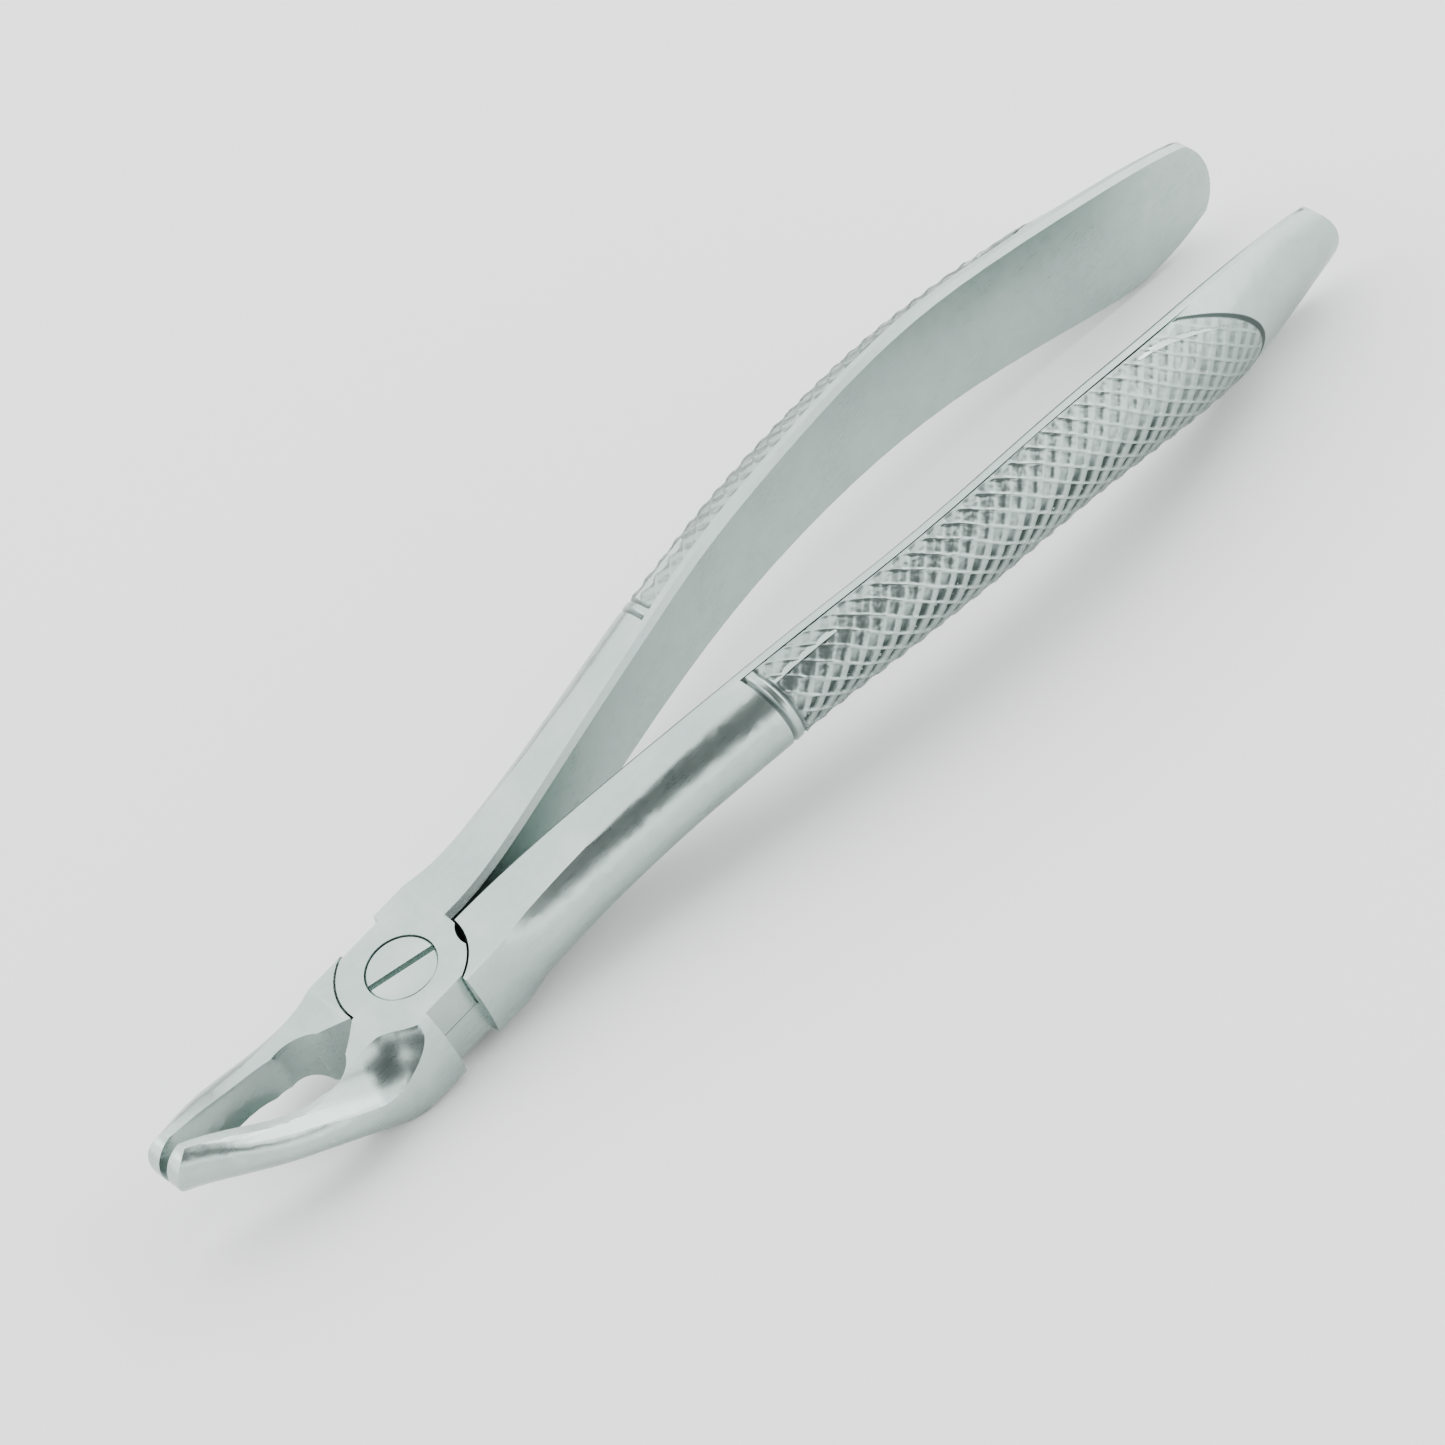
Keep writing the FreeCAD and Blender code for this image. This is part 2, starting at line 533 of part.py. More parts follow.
def build_screw():
    """The pivot screw: sunk slotted head, plain shank, end level with the rear face."""
    body = doc.addObject("PartDesign::Body", "pivot_screw")
    body.Label = "pivot_screw"
    profile = new_sketch(body, "screw_profile", "XZ_Plane")
    texts = [
        ("0", "0"), ("Sizes.shank_radius - Sizes.head_bevel", "0"),
        ("Sizes.shank_radius", "Sizes.head_bevel"),
        ("Sizes.shank_radius", "Sizes.joint_thickness - Sizes.head_height"),
        ("Sizes.head_radius", "Sizes.joint_thickness - Sizes.head_height"),
        ("Sizes.head_radius", "Sizes.joint_thickness - Sizes.head_sink - Sizes.head_bevel"),
        ("Sizes.head_radius - Sizes.head_bevel", "Sizes.joint_thickness - Sizes.head_sink"),
        ("0", "Sizes.joint_thickness - Sizes.head_sink"),
    ]
    corners = [(value_of(across), value_of(up)) for across, up in texts]
    count = len(corners)
    profile.addGeometry([line(corners[edge], corners[(edge + 1) % count])
                         for edge in range(count)])
    join(profile, *((edge, 2, (edge + 1) % count, 1) for edge in range(count)))
    profile.addConstraint(Sketcher.Constraint("Coincident", 0, 1, -1, 1))
    profile.addConstraint(Sketcher.Constraint("PointOnObject", 7, 1, -2))
    profile.addConstraint(Sketcher.Constraint("Horizontal", 0))
    driven(profile, "DistanceX", 1, 1, texts[1][0])
    for edge in range(2, 7):
        driven(profile, "DistanceX", edge, 1, texts[edge][0])
        driven(profile, "DistanceY", edge, 1, texts[edge][1])
    profile.addConstraint(Sketcher.Constraint("Horizontal", 6))
    turned = body.newObject("PartDesign::Revolution", "screw_turned")
    turned.Profile = profile
    turned.ReferenceAxis = (profile, ["V_Axis"])
    turned.Angle = 360

    slot = new_sketch(body, "screw_slot_outline", "XY_Plane")
    half_text, reach_text = "Sizes.slot_width / 2", "Sizes.head_radius + Sizes.slot_width"
    half, reach = value_of(half_text), value_of(reach_text)
    corners = [(-reach, -half), (reach, -half), (reach, half), (-reach, half)]
    slot.addGeometry([line(corners[edge], corners[(edge + 1) % 4]) for edge in range(4)])
    join(slot, *((edge, 2, (edge + 1) % 4, 1) for edge in range(4)))
    for edge, direction in enumerate(("Horizontal", "Vertical") * 2):
        slot.addConstraint(Sketcher.Constraint(direction, edge))
    slot.addConstraint(Sketcher.Constraint("Symmetric", 0, 1, 2, 1, -1, 1))
    driven(slot, "DistanceX", 2, 1, reach_text)
    driven(slot, "DistanceY", 2, 1, half_text)
    slot.AttachmentOffset = FreeCAD.Placement(
        FreeCAD.Vector(), FreeCAD.Rotation(FreeCAD.Vector(0, 0, 1), 1.0))
    slot.setExpression("AttachmentOffset.Rotation.Angle", "Sizes.slot_turn")
    pocket_layer(body, "screw_slot", slot,
                 "Sizes.joint_thickness - Sizes.head_sink - Sizes.slot_depth",
                 "Sizes.joint_thickness")
    return body


def cut_knurl_floor(body, label, side, handle):
    sections = [knurl_section(body, "%s_knurl_%d" % (label, number), side, handle[number],
                              depth, edge)
                for number, depth, edge in KNURL_STATIONS]
    doc.recompute()
    cut_checked(body, loft(body, "SubtractiveLoft", label + "_knurl_floor", sections))
    for flank, stations in (("upper", UPPER_FLANK), ("lower", LOWER_FLANK)):
        name = "%s_%s_flank" % (label, flank)
        # a section turned half round has its lower flank on top
        sections = [flank_section(body, "%s_%d" % (name, number), side, handle[number], depth,
                                  (flank == "upper") == (side > 0))
                    for number, depth in stations]
        doc.recompute()
        cut_checked(body, loft(body, "SubtractiveLoft", name, sections))


def check_and_write(parts):
    """Stops on any failed object or bad solid, then writes one file for each piece."""
    for item in doc.Objects:
        if "Invalid" in item.State or "Error" in item.State:
            raise RuntimeError("%s failed: %s" % (item.Name, item.State))
    for part in parts:
        shape = part.Shape
        if shape.isNull() or not shape.isValid() or len(shape.Solids) != 1:
            raise RuntimeError("%s is not one valid solid" % part.Label)
    os.makedirs("parts", exist_ok=True)
    for part in parts:
        part.Shape.exportStep("parts/%s.step" % part.Label)
        print("%s: %.1f mm3" % (part.Label, part.Shape.Volume))


for size_name, size_value in SIZES.items():
    add_cell(size_name, size_value)
all_stations = {"handle": fill_stations("handle", HANDLE_STATIONS),
                "beak": fill_stations("beak", BEAK_STATIONS)}
doc.recompute()
front_half = build_lever("front_half", 1, all_stations)
bore_front(front_half)
rear_half = build_lever("rear_half", -1, all_stations)
bore_rear(rear_half)
pivot_screw = build_screw()
doc.recompute()
check_and_write([front_half, rear_half, pivot_screw])
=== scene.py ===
import math

import bmesh
import bpy
from mathutils import Matrix, Vector
from mathutils.bvhtree import BVHTree


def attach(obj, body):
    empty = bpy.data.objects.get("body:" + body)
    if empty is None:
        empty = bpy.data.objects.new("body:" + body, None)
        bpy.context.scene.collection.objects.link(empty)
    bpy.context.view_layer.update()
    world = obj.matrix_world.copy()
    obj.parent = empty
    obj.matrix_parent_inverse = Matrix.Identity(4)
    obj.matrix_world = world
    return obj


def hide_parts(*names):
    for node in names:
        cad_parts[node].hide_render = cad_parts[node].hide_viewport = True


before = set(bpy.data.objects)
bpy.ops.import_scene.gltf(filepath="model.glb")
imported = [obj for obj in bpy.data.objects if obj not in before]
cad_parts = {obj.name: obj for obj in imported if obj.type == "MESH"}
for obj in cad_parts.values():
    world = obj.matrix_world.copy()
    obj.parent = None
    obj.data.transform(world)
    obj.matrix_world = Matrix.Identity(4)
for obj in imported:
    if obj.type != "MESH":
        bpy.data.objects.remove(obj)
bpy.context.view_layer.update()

MM = 0.001

# How far each sharp edge of the forgings and of the screw is broken, in mm.
EDGE_BREAK = {"front_half": 0.16, "rear_half": 0.16, "pivot_screw": 0.07}

# Sections of the knurled part of a handle, in mm and degrees: distance from the pivot,
# inner face to centre line, height of the middle, width, thickness, flat part of the sides,
# tilt, depth of the recess, and inner face to the knurl's edge.
GRIP_SECTIONS = (
    (49.2, 6.35, 7.225, 10.65, 8.00, 2.95, 4.4, 0.45, 1.5),
    (66.5, 9.25, 6.875, 11.70, 7.55, 2.20, 5.3, 0.45, 1.5),
    (80.8, 10.75, 5.775, 12.80, 7.40, 1.80, 5.7, 0.45, 1.5),
    (95.0, 11.35, 4.125, 14.45, 7.10, 1.60, 6.2, 0.45, 1.5),
    (109.3, 11.10, 1.025, 15.95, 7.10, 1.50, 6.4, 0.45, 1.6),
    (118.3, 10.50, -1.325, 16.70, 6.85, 1.40, 6.4, 0.45, 1.7),
    (124.4, 10.00, -2.875, 16.90, 6.00, 1.40, 6.5, 0.405, 2.3),
    (134.0, 9.40, -4.475, 15.00, 4.35, 1.20, 6.5, 0.045, 3.6),
)
GRIP_STEP = 0.19                 # mesh of the knurl, in mm
GRIP_ROUND = 20.0                # longest way round a section's knurl, in mm
GRIP_MARGIN = 0.10               # how far the knurl stays inside the recess, in mm
CORNER_TURN = 0.8                # length in which the knurl turns onto a flank, in mm
SEARCH_DEPTH = 1.2               # how far under a section's floor the search starts, in mm
FLOOR_SLACK = 0.25               # how far the floor may lie under its section, in mm
LEAST_RELIEF = 0.13              # height of the knurl where the recess runs out, in mm

# The crossed knurl, in mm; shares are of the pitch or of the depth.
KNURL = {
    "Long pitch": 1.98,          # between the long ribs
    "Cross pitch": 1.86,         # between the cross lands
    "Long rib share": 0.22,
    "Cross land share": 0.56,
    "Cross land height": 0.74,
    "Rib height": 1.06,
    "Wander": 0.20,              # how far a rib strays, in pitches
    "Roughness": 0.42,
    "Ring start": 0.75,
    "Ring end": 1.55,
    "Knurl start": 2.25,
    "Knurl end": 77.0,
    "End curve": 0.085,          # how the knurl's end bows back towards the sides, per mm
    "Seed": 3.0,
}


# ---------------------------------------------------------------- node trees

class Wire:
    """One output in a node tree.  Sums on it add Math nodes, with numbers on either side."""

    def __init__(self, sheet, socket):
        self.sheet = sheet
        self.socket = socket

    def math(self, operation, *others):
        values = dict(enumerate((self,) + others))
        return self.sheet.node("ShaderNodeMath", {"operation": operation}, values)

    def swapped(self, operation, other):
        return self.sheet.node("ShaderNodeMath", {"operation": operation}, {0: other, 1: self})

    def __add__(self, other):
        return self.math("ADD", other)

    def __sub__(self, other):
        return self.math("SUBTRACT", other)

    def __rsub__(self, other):
        return self.swapped("SUBTRACT", other)

    def __mul__(self, other):
        return self.math("MULTIPLY", other)

    def __truediv__(self, other):
        return self.math("DIVIDE", other)

    def __rtruediv__(self, other):
        return self.swapped("DIVIDE", other)

    def __abs__(self):
        return self.math("ABSOLUTE")

    __radd__ = __add__
    __rmul__ = __mul__

    def fraction(self):
        return self.math("FRACT")

    def larger(self, other):
        return self.math("MAXIMUM", other)

    def smaller(self, other):
        return self.math("MINIMUM", other)

    def rise(self, low, high):
        """0 below low, 1 above high and smooth between them."""
        return self.sheet.node(
            "ShaderNodeMapRange", {"interpolation_type": "SMOOTHSTEP"},
            {"Value": self, "From Min": low, "From Max": high})


class Sheet:
    """A node tree.  Every node is added through one method."""

    def __init__(self, tree):
        self.tree = tree

    def node(self, kind, settings=None, inputs=None, output=0):
        made = self.tree.nodes.new(kind)
        for name, value in (settings or {}).items():
            setattr(made, name, value)
        for key, value in (inputs or {}).items():
            socket = self.find(made.inputs, key)
            if isinstance(value, Wire):
                self.tree.links.new(value.socket, socket)
            else:
                socket.default_value = value
        return Wire(self, self.find(made.outputs, output))

    @staticmethod
    def find(sockets, key):
        """A socket by number, identifier or name."""
        if isinstance(key, int):
            return sockets[key]
        return next(socket for socket in sockets if key in (socket.identifier, socket.name))

    def join(self, x, y, z):
        return self.node("ShaderNodeCombineXYZ", None, {0: x, 1: y, 2: z})

    def blend(self, share, first, second):
        """Between two colours."""
        return self.node(
            "ShaderNodeMix", {"data_type": "RGBA"},
            {"Factor_Float": share, "A_Color": first, "B_Color": second}, "Result_Color")

    def noise(self, place, scale, detail=2.0, roughness=0.5, distortion=0.0):
        return self.node(
            "ShaderNodeTexNoise", None,
            {"Vector": place, "Scale": scale, "Detail": detail, "Roughness": roughness,
             "Distortion": distortion})

    def stretched(self, place, scale):
        return self.node("ShaderNodeMapping", {"vector_type": "POINT"},
                         {"Vector": place, "Scale": scale})


# ---------------------------------------------------------------- finishes

STEEL_LIGHT = (0.415, 0.500, 0.474, 1.0)
STEEL_DEEP = (0.330, 0.412, 0.388, 1.0)
# lightened colour for edges and knurl ribs: partly wear, partly a painted highlight
STEEL_WORN_HIGHLIGHT = (0.520, 0.610, 0.582, 1.0)
# painted shade for the screw's slot and the knurl's pits and grooves
POCKET_SHADE_PAINT = (0.050, 0.068, 0.063, 1.0)


def satin_steel(name, rough, grain, grain_scale):
    """Hand-finished surgical steel: clouded satin, fine brushing, edges lightened partly as wear
    and partly as a painted highlight, and painted shade in the slot and knurl pits.
    """
    material = bpy.data.materials.new(name)
    material.use_nodes = True
    material.node_tree.nodes.clear()
    sheet = Sheet(material.node_tree)
    place = sheet.node("ShaderNodeTexCoord", None, None, "Object")
    brushed = sheet.stretched(place, grain_scale)

    clouds = sheet.noise(place, 95.0, 4.0, 0.6)
    blotches = sheet.noise(place, 430.0, 3.0, 0.65, 0.4)
    streaks = sheet.noise(brushed, 1.0, 5.0, 0.7)
    scratches = sheet.noise(brushed, 4.3, 2.0, 0.5, 0.6).rise(0.60, 0.80)
    edge = sheet.node("ShaderNodeAttribute", {"attribute_name": "edge_wear_and_highlight"}, None, "Fac")
    pocket_shade = sheet.node("ShaderNodeAttribute", {"attribute_name": "pocket_shade"}, None, "Fac")

    tone = (clouds * 0.55 + streaks * 0.30 + blotches * 0.35).rise(0.38, 0.82)
    base = sheet.blend(tone, STEEL_DEEP, STEEL_LIGHT)
    # edges and knurl ribs lightened towards the worn colour: partly wear, partly a painted
    # highlight
    worn_and_highlit = sheet.blend(edge.smaller(1.0) * 0.55, base, STEEL_WORN_HIGHLIGHT)
    # painted shade: darkens the screw's slot and the knurl's pits and grooves
    colour = sheet.blend(pocket_shade.smaller(1.0), worn_and_highlit, POCKET_SHADE_PAINT)

    roughness = (clouds * 0.10 + streaks * 0.12 + blotches * 0.06 + (rough - 0.14)
                 + pocket_shade.smaller(1.0) * 0.22 - edge.smaller(1.0) * 0.05)
    height = streaks * 0.7 + scratches * 0.5 + blotches * 0.35
    bump = sheet.node("ShaderNodeBump", None,
                      {"Strength": grain, "Distance": 0.02 * MM, "Height": height})
    shader = sheet.node(
        "ShaderNodeBsdfPrincipled", None,
        {"Base Color": colour, "Roughness": roughness, "Metallic": 1.0, "Normal": bump})
    finish(sheet, shader)
    return material


def finish(sheet, shader):
    """Joins a shader to the material's output."""
    end = sheet.tree.nodes.new("ShaderNodeOutputMaterial")
    sheet.tree.links.new(shader.socket, end.inputs["Surface"])


def pale_paper():
    """The floor's even, matt white."""
    material = bpy.data.materials.new("pale_floor")
    material.use_nodes = True
    material.node_tree.nodes.clear()
    sheet = Sheet(material.node_tree)
    place = sheet.node("ShaderNodeTexCoord", None, None, "Object")
    tone = sheet.noise(place, 3.0, 2.0, 0.5)
    colour = sheet.blend(tone, (0.94, 0.945, 0.94, 1.0), (0.955, 0.955, 0.955, 1.0))
    shader = sheet.node("ShaderNodeBsdfPrincipled", None,
                        {"Base Color": colour, "Roughness": 0.9, "Specular IOR Level": 0.1})
    finish(sheet, shader)
    return material


# ---------------------------------------------------------------- forgings

def add_piece(name, mesh):
    piece = bpy.data.objects.new(name, mesh)
    bpy.context.scene.collection.objects.link(piece)
    return piece


def plain_mesh(piece, name):
    """The piece as its modifiers make it, as a plain mesh, without the modifiers."""
    graph = bpy.context.evaluated_depsgraph_get()
    mesh = bpy.data.meshes.new_from_object(piece.evaluated_get(graph), depsgraph=graph)
    mesh.name = name
    piece.modifiers.clear()
    old = piece.data
    piece.data = mesh
    bpy.data.meshes.remove(old)
    return mesh


def merged_copy(node, name):
    """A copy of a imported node's mesh with its loose triangles joined up."""
    work = bmesh.new()
    work.from_mesh(node.data)
    bmesh.ops.remove_doubles(work, verts=work.verts, dist=0.002 * MM)
    bmesh.ops.dissolve_degenerate(work, edges=work.edges, dist=0.001 * MM)
    bmesh.ops.recalc_face_normals(work, faces=work.faces)
    mesh = bpy.data.meshes.new(name)
    work.to_mesh(mesh)
    work.free()
    return mesh


def mark_edge_highlight_and_wear(mesh, reach):
    """Stores how sharply the surface turns round each corner, for lightened edges: partly wear,
    partly a painted highlight.
    """
    work = bmesh.new()
    work.from_mesh(mesh)
    values = []
    for vert in work.verts:
        turns = [edge.calc_face_angle(0.0) for edge in vert.link_edges
                 if edge.is_convex and edge.calc_length() < reach]
        values.append(min(1.0, max(turns, default=0.0) / 0.5))
    work.free()
    attribute = mesh.attributes.new("edge_wear_and_highlight", "FLOAT", "POINT")
    attribute.data.foreach_set("value", values)


def paint_slot_shade(mesh):
    """Paints shade into the screw's slot, darkening it."""
    head_radius, lowest, highest = 4.3 * MM, 1.3 * MM, 0.2 * MM
    top = max(vert.co.z for vert in mesh.vertices)
    values = [1.0 if highest < top - vert.co.z < lowest and vert.co.xy.length < head_radius
              else 0.0 for vert in mesh.vertices]
    mesh.attributes.new("pocket_shade", "FLOAT", "POINT").data.foreach_set("value", values)


def break_edges(piece, width):
    """Breaks the sharp edges and shades the rest smoothly."""
    bevel = piece.modifiers.new("edge_break", "BEVEL")
    bevel.width = width * MM
    bevel.segments = 3
    bevel.limit_method = "ANGLE"
    bevel.angle_limit = math.radians(28)
    bevel.use_clamp_overlap = True
    bevel.miter_outer = "MITER_ARC"
    weights = piece.modifiers.new("face_weights", "WEIGHTED_NORMAL")
    weights.mode = "FACE_AREA"
    weights.keep_sharp = True


def build_forging(node_name, body, material):
    """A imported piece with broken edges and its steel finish."""
    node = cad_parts[node_name]
    piece = add_piece(node_name + "_steel", merged_copy(node, node_name + "_steel"))
    for face in piece.data.polygons:
        face.use_smooth = True
    break_edges(piece, EDGE_BREAK[node_name])
    mesh = plain_mesh(piece, node_name + "_steel")
    # Lightens the edges, partly as wear and partly as a painted highlight; on the screw, paints
    # shade into the slot.
    mark_edge_highlight_and_wear(mesh, 0.2 * MM)
    if node_name == "pivot_screw":
        paint_slot_shade(mesh)
    mesh.materials.clear()
    mesh.materials.append(material)
    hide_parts(node_name)
    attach(piece, body)
    return piece


# ---------------------------------------------------------------- knurled grips

def section_at(x):
    """The handle's section at a distance from the pivot, smooth between the listed ones."""
    rows = GRIP_SECTIONS
    last = len(rows) - 1
    first = min(max(sum(row[0] <= x for row in rows) - 1, 0), last - 1)
    before, start, end, after = (rows[min(max(first + shift, 0), last)]
                                 for shift in (-1, 0, 1, 2))
    span = end[0] - start[0]
    share = (x - start[0]) / span
    made = []
    for number in range(1, len(start)):
        leave = (end[number] - before[number]) / (end[0] - before[0]) * span
        arrive = (after[number] - start[number]) / (after[0] - start[0]) * span
        made.append((2 * share ** 3 - 3 * share ** 2 + 1) * start[number]
                    + (share ** 3 - 2 * share ** 2 + share) * leave
                    + (3 * share ** 2 - 2 * share ** 3) * end[number]
                    + (share ** 3 - share ** 2) * arrive)
    return made


def outer_arc(width, thick, flat, edge):
    """Radius, centre and half angle of a section's outer arc, and how far the knurl goes round."""
    bulge = thick - flat
    radius = ((width / 2) ** 2 + bulge ** 2) / (2 * bulge)
    centre = thick - radius
    limit = math.asin(min(1.0, width / 2 / radius))
    reach = limit * radius + max(flat - edge - GRIP_MARGIN, 0.0)
    if edge + GRIP_MARGIN > flat:
        reach = math.acos(min(1.0, (edge + GRIP_MARGIN - centre) / radius)) * radius
    return radius, centre, limit, reach


def find_floor(tree, place, outward, depth):
    """The recess's real floor under a point of the section, and the height left over it."""
    start = place - outward * (depth + SEARCH_DEPTH)
    reach = (SEARCH_DEPTH + 1.0) * MM
    hit, _, _, distance = tree.ray_cast(start * MM, outward, reach)
    found = distance / MM if hit else SEARCH_DEPTH
    found = min(max(found, SEARCH_DEPTH - FLOOR_SLACK), SEARCH_DEPTH + depth)
    room = max(depth - max(found - SEARCH_DEPTH, 0.0), LEAST_RELIEF)
    return start + outward * found, room


def grip_row(x, side, columns, tree):
    """One row of points round the recess, with what the knurl needs to know at each."""
    inner, middle, width, thick, flat, tilt, depth, edge = section_at(x)
    radius, centre, limit, reach = outer_arc(width, thick, flat, edge)
    tilt = math.radians(tilt)
    row = []
    for column in range(columns + 1):
        around = reach * (2 * column / columns - 1)
        turn = max(-limit, min(limit, around / radius))
        past = abs(around) - abs(turn) * radius
        across = centre + radius * math.cos(turn) - past
        height = radius * math.sin(turn)
        square = math.copysign(math.pi / 2, turn)
        lean = turn + (square - turn) * min(past / CORNER_TURN, 1.0)
        place = Vector((x, side * (inner + across * math.cos(tilt) + height * math.sin(tilt)),
                        middle - across * math.sin(tilt) + height * math.cos(tilt)))
        outward = Vector((0, side * math.cos(lean - tilt), math.sin(lean - tilt)))
        floor, room = find_floor(tree, place, outward, depth)
        row.append((floor, outward, around, reach - abs(around), room))
    return row


def grid_faces(count, columns, side):
    """Squares between the rows, facing outwards on either handle."""
    faces = []
    for number in range(count):
        for column in range(columns):
            corner = number * (columns + 1) + column
            face = (corner, corner + 1, corner + columns + 2, corner + columns + 1)
            faces.append(face if side > 0 else face[::-1])
    return faces


def build_bed(name, side, node_name):
    """The smooth floor of a grip's recess, which the knurl then rises from."""
    source = merged_copy(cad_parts[node_name], "bed_source")
    work = bmesh.new()
    work.from_mesh(source)
    tree = BVHTree.FromBMesh(work)
    work.free()
    bpy.data.meshes.remove(source)

    begin, end = GRIP_SECTIONS[0][0] + 0.05, GRIP_SECTIONS[-1][0] - 0.4
    count = int((end - begin) / GRIP_STEP)
    columns = int(GRIP_ROUND / GRIP_STEP)
    rows = [grip_row(begin + (end - begin) * number / count, side, columns, tree)
            for number in range(count + 1)]
    points = [cell for row in rows for cell in row]
    mesh = bpy.data.meshes.new(name)
    mesh.from_pydata([tuple(place * MM) for place, *_ in points], [],
                     grid_faces(count, columns, side))
    along = [cell[0].x - GRIP_SECTIONS[0][0] for cell in points]
    for label, values in (("along", along), ("around", [cell[2] for cell in points]),
                          ("rim", [cell[3] for cell in points]),
                          ("depth", [cell[4] for cell in points])):
        mesh.attributes.new(label, "FLOAT", "POINT").data.foreach_set("value", values)
    outward = [part for cell in points for part in cell[1]]
    mesh.attributes.new("outward", "FLOAT_VECTOR", "POINT").data.foreach_set("vector", outward)
    return add_piece(name, mesh)


def attribute(sheet, name, kind="FLOAT"):
    return sheet.node("GeometryNodeInputNamedAttribute", {"data_type": kind}, {"Name": name})


def rib(phase, low, high):
    """1 along the middle of each rib and 0 between the ribs."""
    return (1.0 - abs(phase.fraction() - 0.5) * 2.0).rise(low, high)


def knurl_cut(sheet, given, along, around):
    """Height of the crossed cut, 1 on a full land, and where its long ribs run."""
    seed = given["Seed"]
    fine = sheet.join(along, around, seed)
    stray, cross_stray = (
        sheet.noise(sheet.join(along * 0.16, around * 0.16, start), 1.0, 2.0) - 0.5
        for start in (seed, seed + 7.3))

    diagonal = (along + around) * math.sqrt(0.5)
    cross_diagonal = (along - around) * math.sqrt(0.5)
    long_phase = diagonal / given["Long pitch"] + stray * given["Wander"] * 2.0
    cross_phase = cross_diagonal / given["Cross pitch"] + cross_stray * given["Wander"] * 2.0
    long_share, land_share = given["Long rib share"], given["Cross land share"]
    long_rib = rib(long_phase, 1.0 - long_share * 1.1, 1.0 - long_share * 0.45)
    cross_land = rib(cross_phase, 1.0 - land_share * 1.12, 1.0 - land_share * 0.86)

    # pockets get shallow towards the upper side and the handle's end
    shallow = (around + stray * 5.0).rise(0.8, 4.4).larger(
        (along + cross_stray * 16.0).rise(50.0, 68.0) * 0.8)
    filled = shallow * (0.33 + sheet.noise(fine, 1.2, 2.0) * 0.55)
    land = given["Cross land height"]
    body = long_rib * given["Rib height"]
    cut = body.larger(cross_land * land).larger(filled * land)
    rough = (sheet.noise(fine, 1.9, 3.0, 0.6) - 0.5) * given["Roughness"]
    return cut, cut + rough, long_rib


def knurl_relief(sheet, given, along, around, rim):
    """Share of the recess filled at each point, the painted shade of its pits and grooves, and the
    painted highlight on its ribs.
    """
    cut, pattern, long_rib = knurl_cut(sheet, given, along, around)
    ring = along.rise(given["Ring start"] - 0.22, given["Ring start"]) * (
        1.0 - along.rise(given["Ring end"], given["Ring end"] + 0.22))
    cut_in = along.rise(given["Knurl start"] - 0.25, given["Knurl start"] + 0.1)
    started = ring * 1.02 + pattern * cut_in

    border = rim.rise(0.0, 0.55)
    bordered = started * border + (1.0 - border) * 0.86
    stop = given["Knurl end"] - (around * around) * given["End curve"]
    past = (along - stop).rise(-0.15, 0.2)
    groove = (along - stop).rise(-1.1, -0.85) * (1.0 - past)
    share = (bordered * (1.0 - groove) + groove * 0.12) * (1.0 - past) - past * 0.9

    # painted shade: darkens the pits between the lands, the gap before the knurl starts, the end
    # groove and, lightly, the whole knurl
    pit = ((1.0 - cut.rise(0.05, 0.74)) * cut_in * border).larger(
        (1.0 - ring) * (1.0 - cut_in) * 0.75).larger(groove).larger(cut_in * 0.20)
    # the last value lightens the long ribs: a painted highlight
    return share, pit, long_rib * cut_in * 0.35


def knurl_tree():
    """Raises a crossed knurl from a grip's bed: long ribs, cross lands, and a ring before them."""
    tree = bpy.data.node_groups.new("crossed_knurl", "GeometryNodeTree")
    face = tree.interface
    face.new_socket("Bed", in_out="INPUT", socket_type="NodeSocketGeometry")
    for name, value in KNURL.items():
        face.new_socket(name, in_out="INPUT", socket_type="NodeSocketFloat").default_value = value
    face.new_socket("Finish", in_out="INPUT", socket_type="NodeSocketMaterial")
    face.new_socket("Knurl", in_out="OUTPUT", socket_type="NodeSocketGeometry")
    sheet = Sheet(tree)
    entry = tree.nodes.new("NodeGroupInput")
    given = {socket.name: Wire(sheet, socket) for socket in entry.outputs if socket.name}

    along, around, rim, depth = (attribute(sheet, name)
                                 for name in ("along", "around", "rim", "depth"))
    share, pit, worn_and_highlit = knurl_relief(sheet, given, along, around, rim)
    lift = (share * depth + 0.015) * MM
    offset = sheet.node("ShaderNodeVectorMath", {"operation": "SCALE"},
                        {"Vector": attribute(sheet, "outward", "FLOAT_VECTOR"), "Scale": lift})
    made = sheet.node("GeometryNodeSetPosition", None,
                      {"Geometry": given["Bed"], "Offset": offset})
    # stores the painted shade of the pits and the painted highlight on the ribs for the finish
    for name, value in (("pocket_shade", pit), ("edge_wear_and_highlight", worn_and_highlit)):
        made = sheet.node("GeometryNodeStoreNamedAttribute", {"data_type": "FLOAT"},
                          {"Geometry": made, "Name": name, "Value": value})
    made = sheet.node("GeometryNodeRealizeInstances", None, {"Geometry": made})
    made = sheet.node("GeometryNodeSetMaterial", None,
                      {"Geometry": made, "Material": given["Finish"]})
    out = tree.nodes.new("NodeGroupOutput")
    tree.links.new(made.socket, out.inputs["Knurl"])
    return tree


def set_input(modifier, name, value):
    item = next(item for item in modifier.node_group.interface.items_tree
                if item.name == name and item.in_out == "INPUT")
    modifier[item.identifier] = value


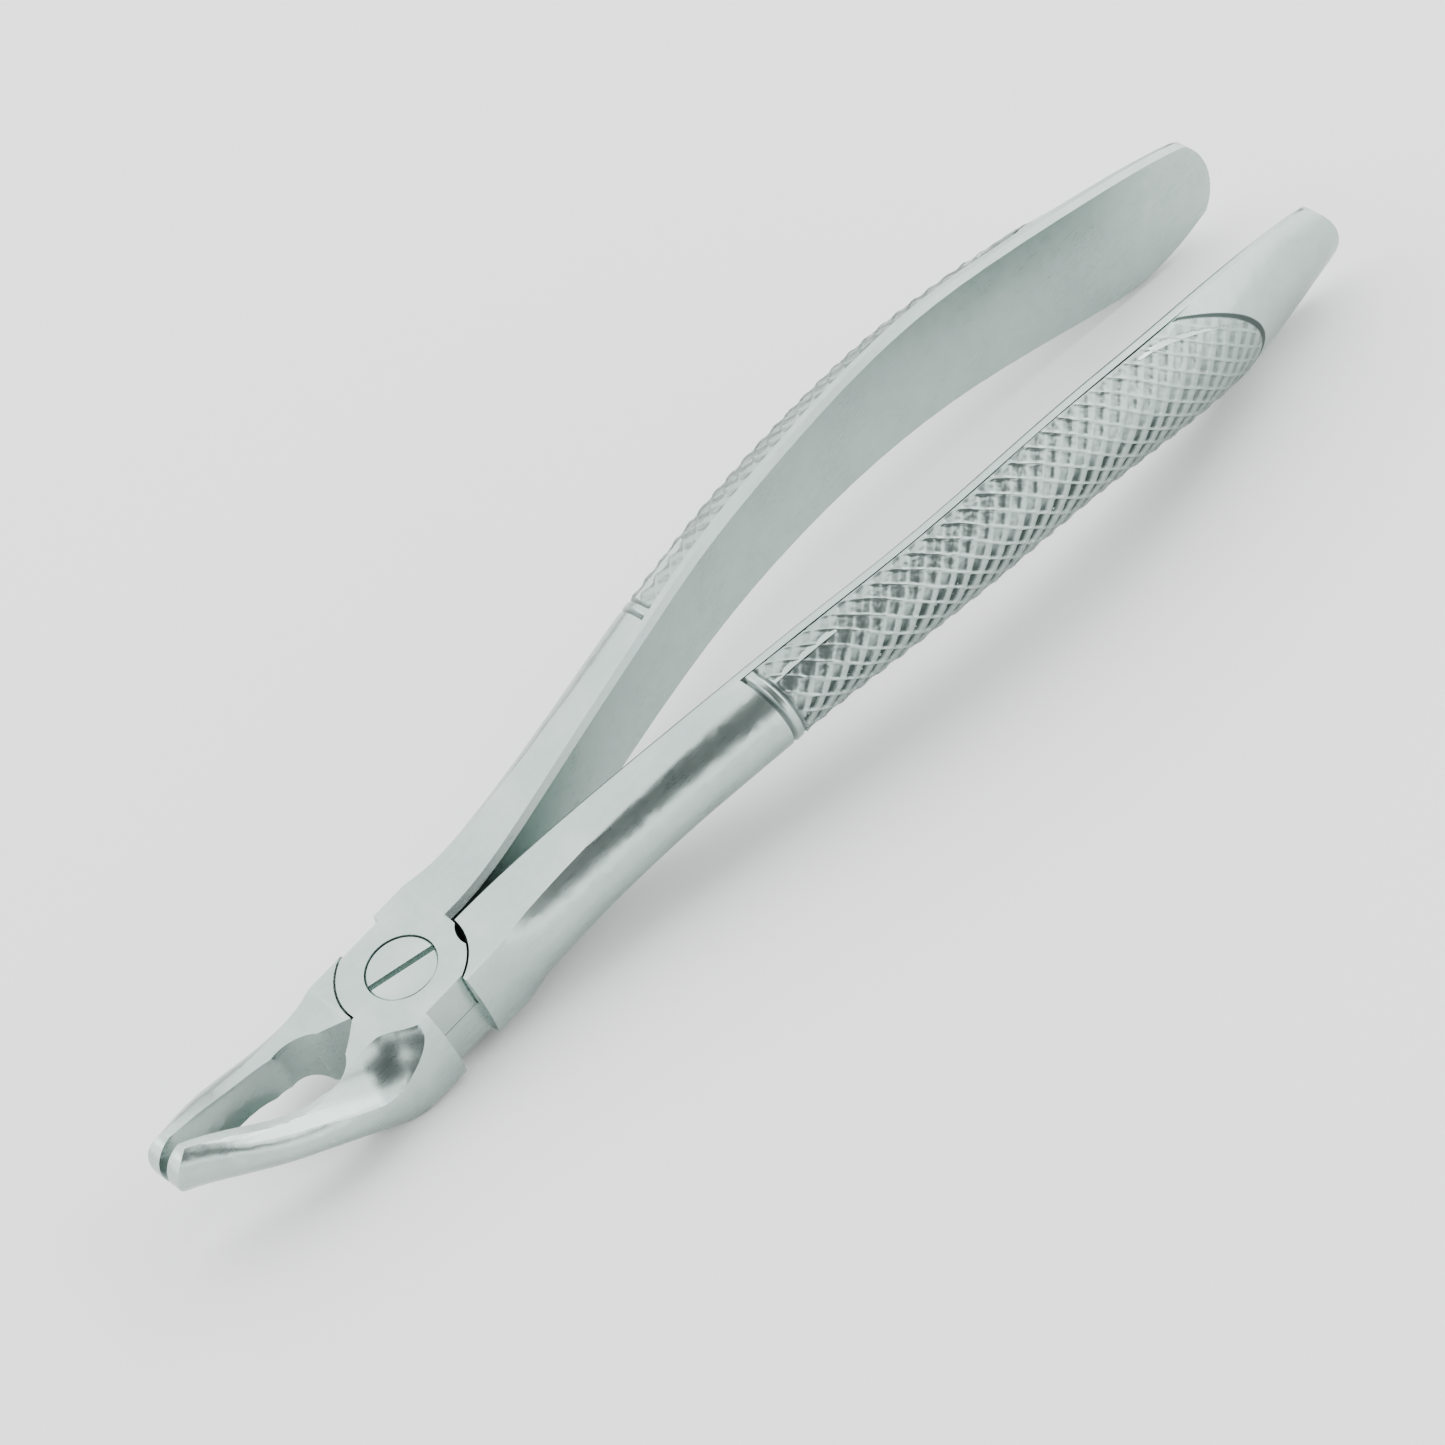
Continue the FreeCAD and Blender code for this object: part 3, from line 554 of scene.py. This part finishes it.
def build_grip(name, node_name, side, body, tree, material, seed):
    piece = build_bed(name, side, node_name)
    modifier = piece.modifiers.new("knurl", "NODES")
    modifier.node_group = tree
    set_input(modifier, "Seed", seed)
    set_input(modifier, "Finish", material)
    mesh = plain_mesh(piece, name)
    for label in ("along", "around", "rim", "depth", "outward"):
        mesh.attributes.remove(mesh.attributes[label])
    for face in mesh.polygons:
        face.use_smooth = True
    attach(piece, body)
    return piece


# ---------------------------------------------------------------- floor, light and camera

def floor_line():
    """Height at the pivot and slope of the plane that the forceps lie on."""
    corners = sorted((round(vert.co.x, 6), round(vert.co.z, 6))
                     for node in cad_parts.values() for vert in node.data.vertices)
    hull = []
    for corner in corners:
        while len(hull) > 1 and ((hull[-1][0] - hull[-2][0]) * (corner[1] - hull[-2][1])
                                 <= (hull[-1][1] - hull[-2][1]) * (corner[0] - hull[-2][0])):
            hull.pop()
        hull.append(corner)
    left, right = next(pair for pair in zip(hull, hull[1:]) if pair[0][0] <= 0.045 <= pair[1][0])
    slope = (right[1] - left[1]) / (right[0] - left[0])
    return left[1] - slope * left[0], slope


def build_floor(material):
    height, slope = floor_line()
    mesh = bpy.data.meshes.new("floor")
    reach = 3.0
    mesh.from_pydata([(x, y, height - 0.0002 + slope * x)
                      for x, y in ((-reach, -reach), (reach, -reach), (reach, reach),
                                   (-reach, reach))], [], [(0, 1, 2, 3)])
    mesh.materials.append(material)
    floor = add_piece("floor", mesh)


def add_softbox(name, place, aim, width, height, power, colour=(1.0, 1.0, 1.0)):
    data = bpy.data.lights.new(name, "AREA")
    data.shape = "RECTANGLE"
    data.size = width
    data.size_y = height
    data.energy = power
    data.color = colour
    light = bpy.data.objects.new(name, data)
    bpy.context.scene.collection.objects.link(light)
    light.location = place
    light.rotation_euler = (Vector(aim) - Vector(place)).to_track_quat("-Z", "Y").to_euler()
    return light


def build_light():
    """A bright tent, open where the camera stands."""
    world = bpy.data.worlds.new("studio")
    world.use_nodes = True
    background = world.node_tree.nodes["Background"]
    background.inputs["Color"].default_value = (0.95, 1.0, 0.99, 1.0)
    background.inputs["Strength"].default_value = 0.20
    bpy.context.scene.world = world
    middle = (0.05, 0.0, 0.0)
    add_softbox("overhead", (0.32, 0.75, 0.95), middle, 3.0, 2.1, 56.0)
    add_softbox("side_left", (-1.05, 0.35, 0.45), middle, 1.8, 1.3, 24.0)
    add_softbox("side_right", (1.05, -0.35, 0.50), middle, 1.6, 1.2, 22.0)
    add_softbox("low_front", (0.25, -1.15, 0.18), middle, 1.4, 0.5, 7.0)


def build_camera():
    data = bpy.data.cameras.new("camera")
    data.sensor_width = 36.0
    data.lens = 159.2
    data.clip_start = 0.01
    data.clip_end = 20.0
    camera = bpy.data.objects.new("camera", data)
    bpy.context.scene.collection.objects.link(camera)
    right = Vector((0.6685, -0.6746, -0.3130)).normalized()
    back = Vector((-0.2623, -0.6077, 0.7496)).normalized()
    up = back.cross(right).normalized()
    right = up.cross(back).normalized()
    turn = Matrix((right, up, back)).transposed().to_4x4()
    camera.matrix_world = Matrix.Translation(Vector((-143.9, -445.7, 549.0)) * MM) @ turn
    bpy.context.scene.camera = camera


steel = satin_steel("satin_steel_finish", 0.29, 0.30, (160.0, 3600.0, 3600.0))
screw_steel = satin_steel("screw_steel_finish", 0.30, 0.35, (3000.0, 500.0, 3000.0))
build_forging("front_half", "front", steel)
build_forging("rear_half", "rear", steel)
build_forging("pivot_screw", "rear", screw_steel)
knurl = knurl_tree()
build_grip("front_grip_knurl", "front_half", 1, "front", knurl, steel, 3.0)
build_grip("rear_grip_knurl", "rear_half", -1, "rear", knurl, steel, 11.0)
build_floor(pale_paper())
build_light()
build_camera()
